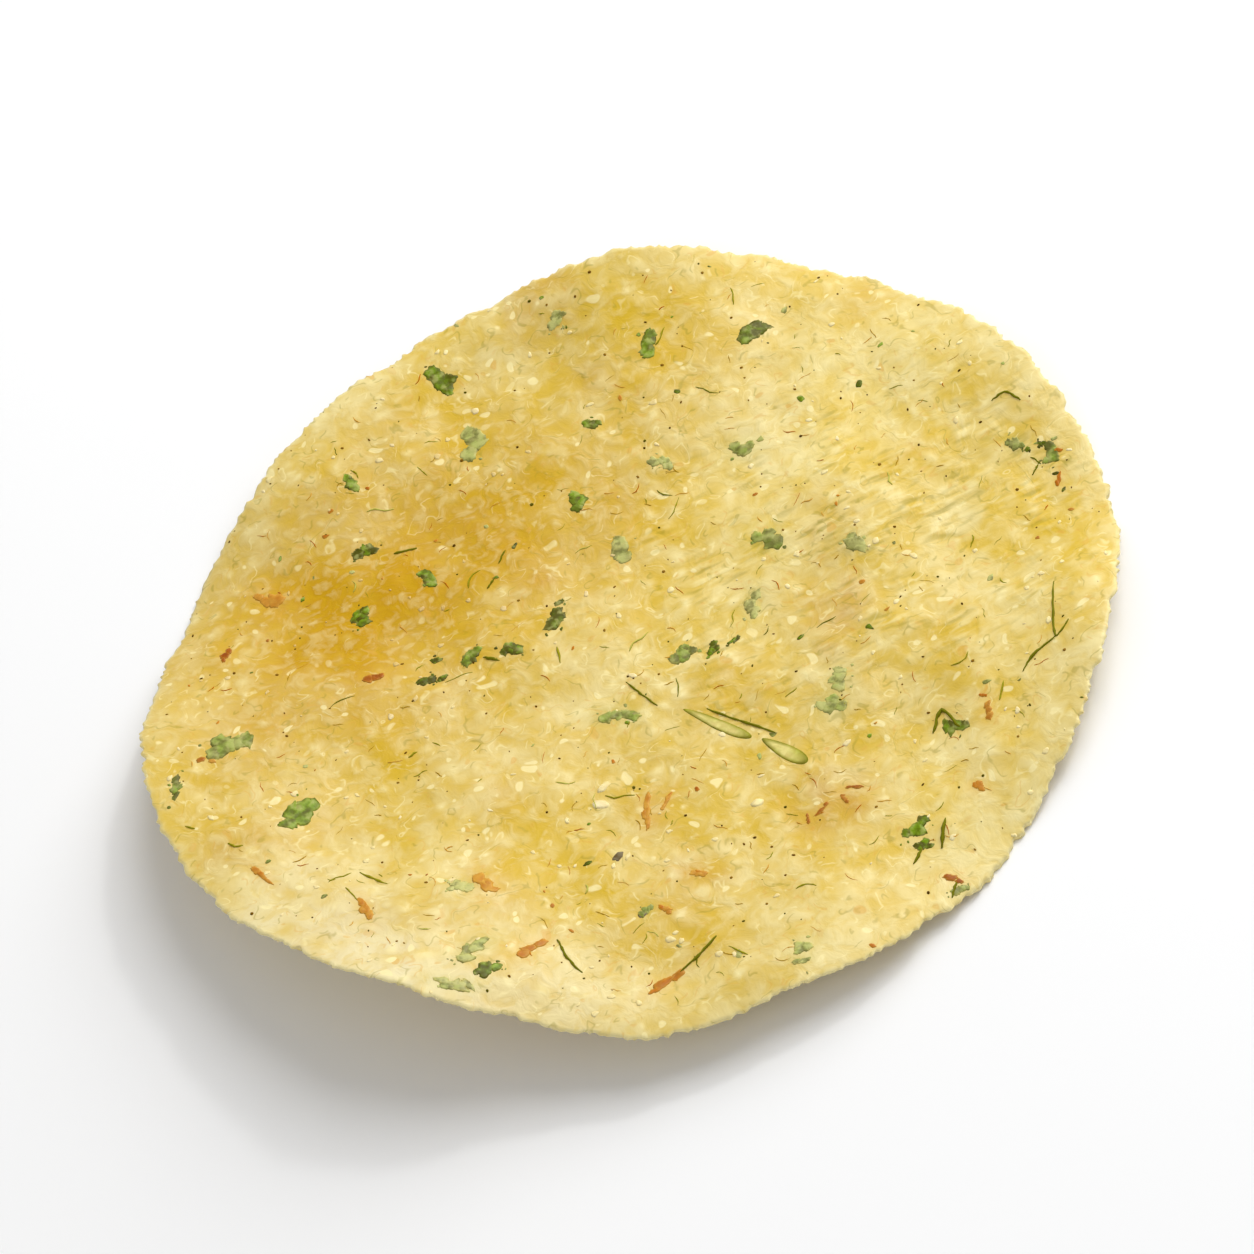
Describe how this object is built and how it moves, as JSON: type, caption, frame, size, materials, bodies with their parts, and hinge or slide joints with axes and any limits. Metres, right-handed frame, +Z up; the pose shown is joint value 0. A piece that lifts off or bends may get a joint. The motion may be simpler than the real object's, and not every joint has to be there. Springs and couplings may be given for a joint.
{
  "type": "spinach papadum",
  "caption": "Thin round fried flatbread with a wavy rim, a gently dished middle and leaf and chilli flakes in both faces, lying flat on three low places of its rim.",
  "frame": {"origin": "centre of the bounding box at its base, on the surface that the papadum lies on", "axes": "+Z up, out of the shown face; +X across the papadum to the viewer's right, -Y towards the viewer"},
  "size_m": [0.1022, 0.1, 0.0124],
  "materials": {
    "papadum": "satin, slightly translucent fried dough, pale yellow and paler at the rim, with green leaf flakes, orange-red chilli flakes and cream grains"
  },
  "bodies": {
    "root": {"papadum": "papadum"}
  },
  "joints": []
}
